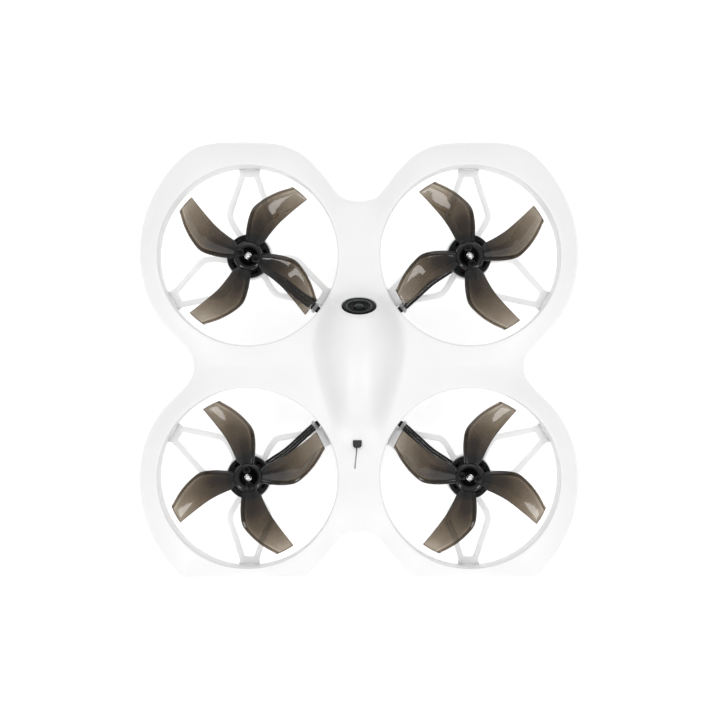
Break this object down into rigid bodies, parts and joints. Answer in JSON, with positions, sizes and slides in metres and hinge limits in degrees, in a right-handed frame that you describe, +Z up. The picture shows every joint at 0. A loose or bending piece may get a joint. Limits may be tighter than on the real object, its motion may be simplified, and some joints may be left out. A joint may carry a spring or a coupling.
{
  "type": "fpv racing drone",
  "caption": "Palm-sized ducted quadcopter with a nose camera under a teardrop canopy, spinning propellers in round guards and a slide-out battery tray.",
  "frame": {"origin": "middle of the bounding box at its base, on the flat underside of the battery tray", "axes": "+Z up along the propeller shafts, +Y towards the nose and camera, +X towards the right-hand ducts"},
  "size_m": [0.1336, 0.1324, 0.0423],
  "materials": {
    "white_shell": "satin moulded",
    "black_plastic": "satin moulded",
    "motor_metal": "black anodised",
    "steel": "ground",
    "winding": "enamelled copper wire",
    "smoke_prop": "polished translucent",
    "circuit_board": "solder mask",
    "battery_wrap": "satin film",
    "lens_glass": "coated",
    "wire_black": "silicone insulation"
  },
  "bodies": {
    "airframe": {"centre_hull": "white_shell", "canopy": "white_shell", "battery_tray": "white_shell", "battery_socket": "black_plastic", "camera_body": "black_plastic", "lens_barrel": "black_plastic", "lens_glass": "lens_glass", "camera_bracket": "black_plastic", "camera_screw_left": "steel", "camera_screw_right": "steel", "flight_controller_board": "circuit_board", "video_board": "circuit_board", "usb_port": "steel", "antenna_base": "black_plastic", "antenna_wire": "steel", "duct_front_left": "white_shell", "motor_mount_front_left": "white_shell", "motor_base_front_left": "motor_metal", "stator_front_left": "winding", "motor_cable_front_left": "wire_black", "duct_front_right": "white_shell", "motor_mount_front_right": "white_shell", "motor_base_front_right": "motor_metal", "stator_front_right": "winding", "motor_cable_front_right": "wire_black", "duct_rear_left": "white_shell", "motor_mount_rear_left": "white_shell", "motor_base_rear_left": "motor_metal", "stator_rear_left": "winding", "motor_cable_rear_left": "wire_black", "duct_rear_right": "white_shell", "motor_mount_rear_right": "white_shell", "motor_base_rear_right": "motor_metal", "stator_rear_right": "winding", "motor_cable_rear_right": "wire_black"},
    "battery": {"battery_pack": "battery_wrap"},
    "bind_button": {"bind_button": "black_plastic"},
    "prop_front_left": {"motor_bell_front_left": "motor_metal", "shaft_front_left": "steel", "propeller_front_left": "smoke_prop", "prop_screw_front_left_1": "motor_metal", "prop_screw_front_left_2": "motor_metal"},
    "prop_front_right": {"motor_bell_front_right": "motor_metal", "shaft_front_right": "steel", "propeller_front_right": "smoke_prop", "prop_screw_front_right_1": "motor_metal", "prop_screw_front_right_2": "motor_metal"},
    "prop_rear_left": {"motor_bell_rear_left": "motor_metal", "shaft_rear_left": "steel", "propeller_rear_left": "smoke_prop", "prop_screw_rear_left_1": "motor_metal", "prop_screw_rear_left_2": "motor_metal"},
    "prop_rear_right": {"motor_bell_rear_right": "motor_metal", "shaft_rear_right": "steel", "propeller_rear_right": "smoke_prop", "prop_screw_rear_right_1": "motor_metal", "prop_screw_rear_right_2": "motor_metal"}
  },
  "joints": [
    {"name": "prop_spin_front_left", "type": "hinge", "parent": "airframe", "child": "prop_front_left", "pos_m": [-0.0336, 0.03165, 0.0239], "axis": [0, 0, 1], "continuous": true},
    {"name": "prop_spin_front_right", "type": "hinge", "parent": "airframe", "child": "prop_front_right", "pos_m": [0.0336, 0.03165, 0.0239], "axis": [0, 0, 1], "continuous": true},
    {"name": "prop_spin_rear_left", "type": "hinge", "parent": "airframe", "child": "prop_rear_left", "pos_m": [-0.0336, -0.03555, 0.0239], "axis": [0, 0, 1], "continuous": true},
    {"name": "prop_spin_rear_right", "type": "hinge", "parent": "airframe", "child": "prop_rear_right", "pos_m": [0.0336, -0.03555, 0.0239], "axis": [0, 0, 1], "continuous": true},
    {"name": "battery_slide", "type": "slide", "parent": "airframe", "child": "battery", "axis": [0, -1, 0], "range_m": [0, 0.05]},
    {"name": "bind_button_press", "type": "slide", "parent": "airframe", "child": "bind_button", "axis": [0, 0, -1], "range_m": [0, 0.00025], "stiffness_N_per_m": 150}
  ]
}
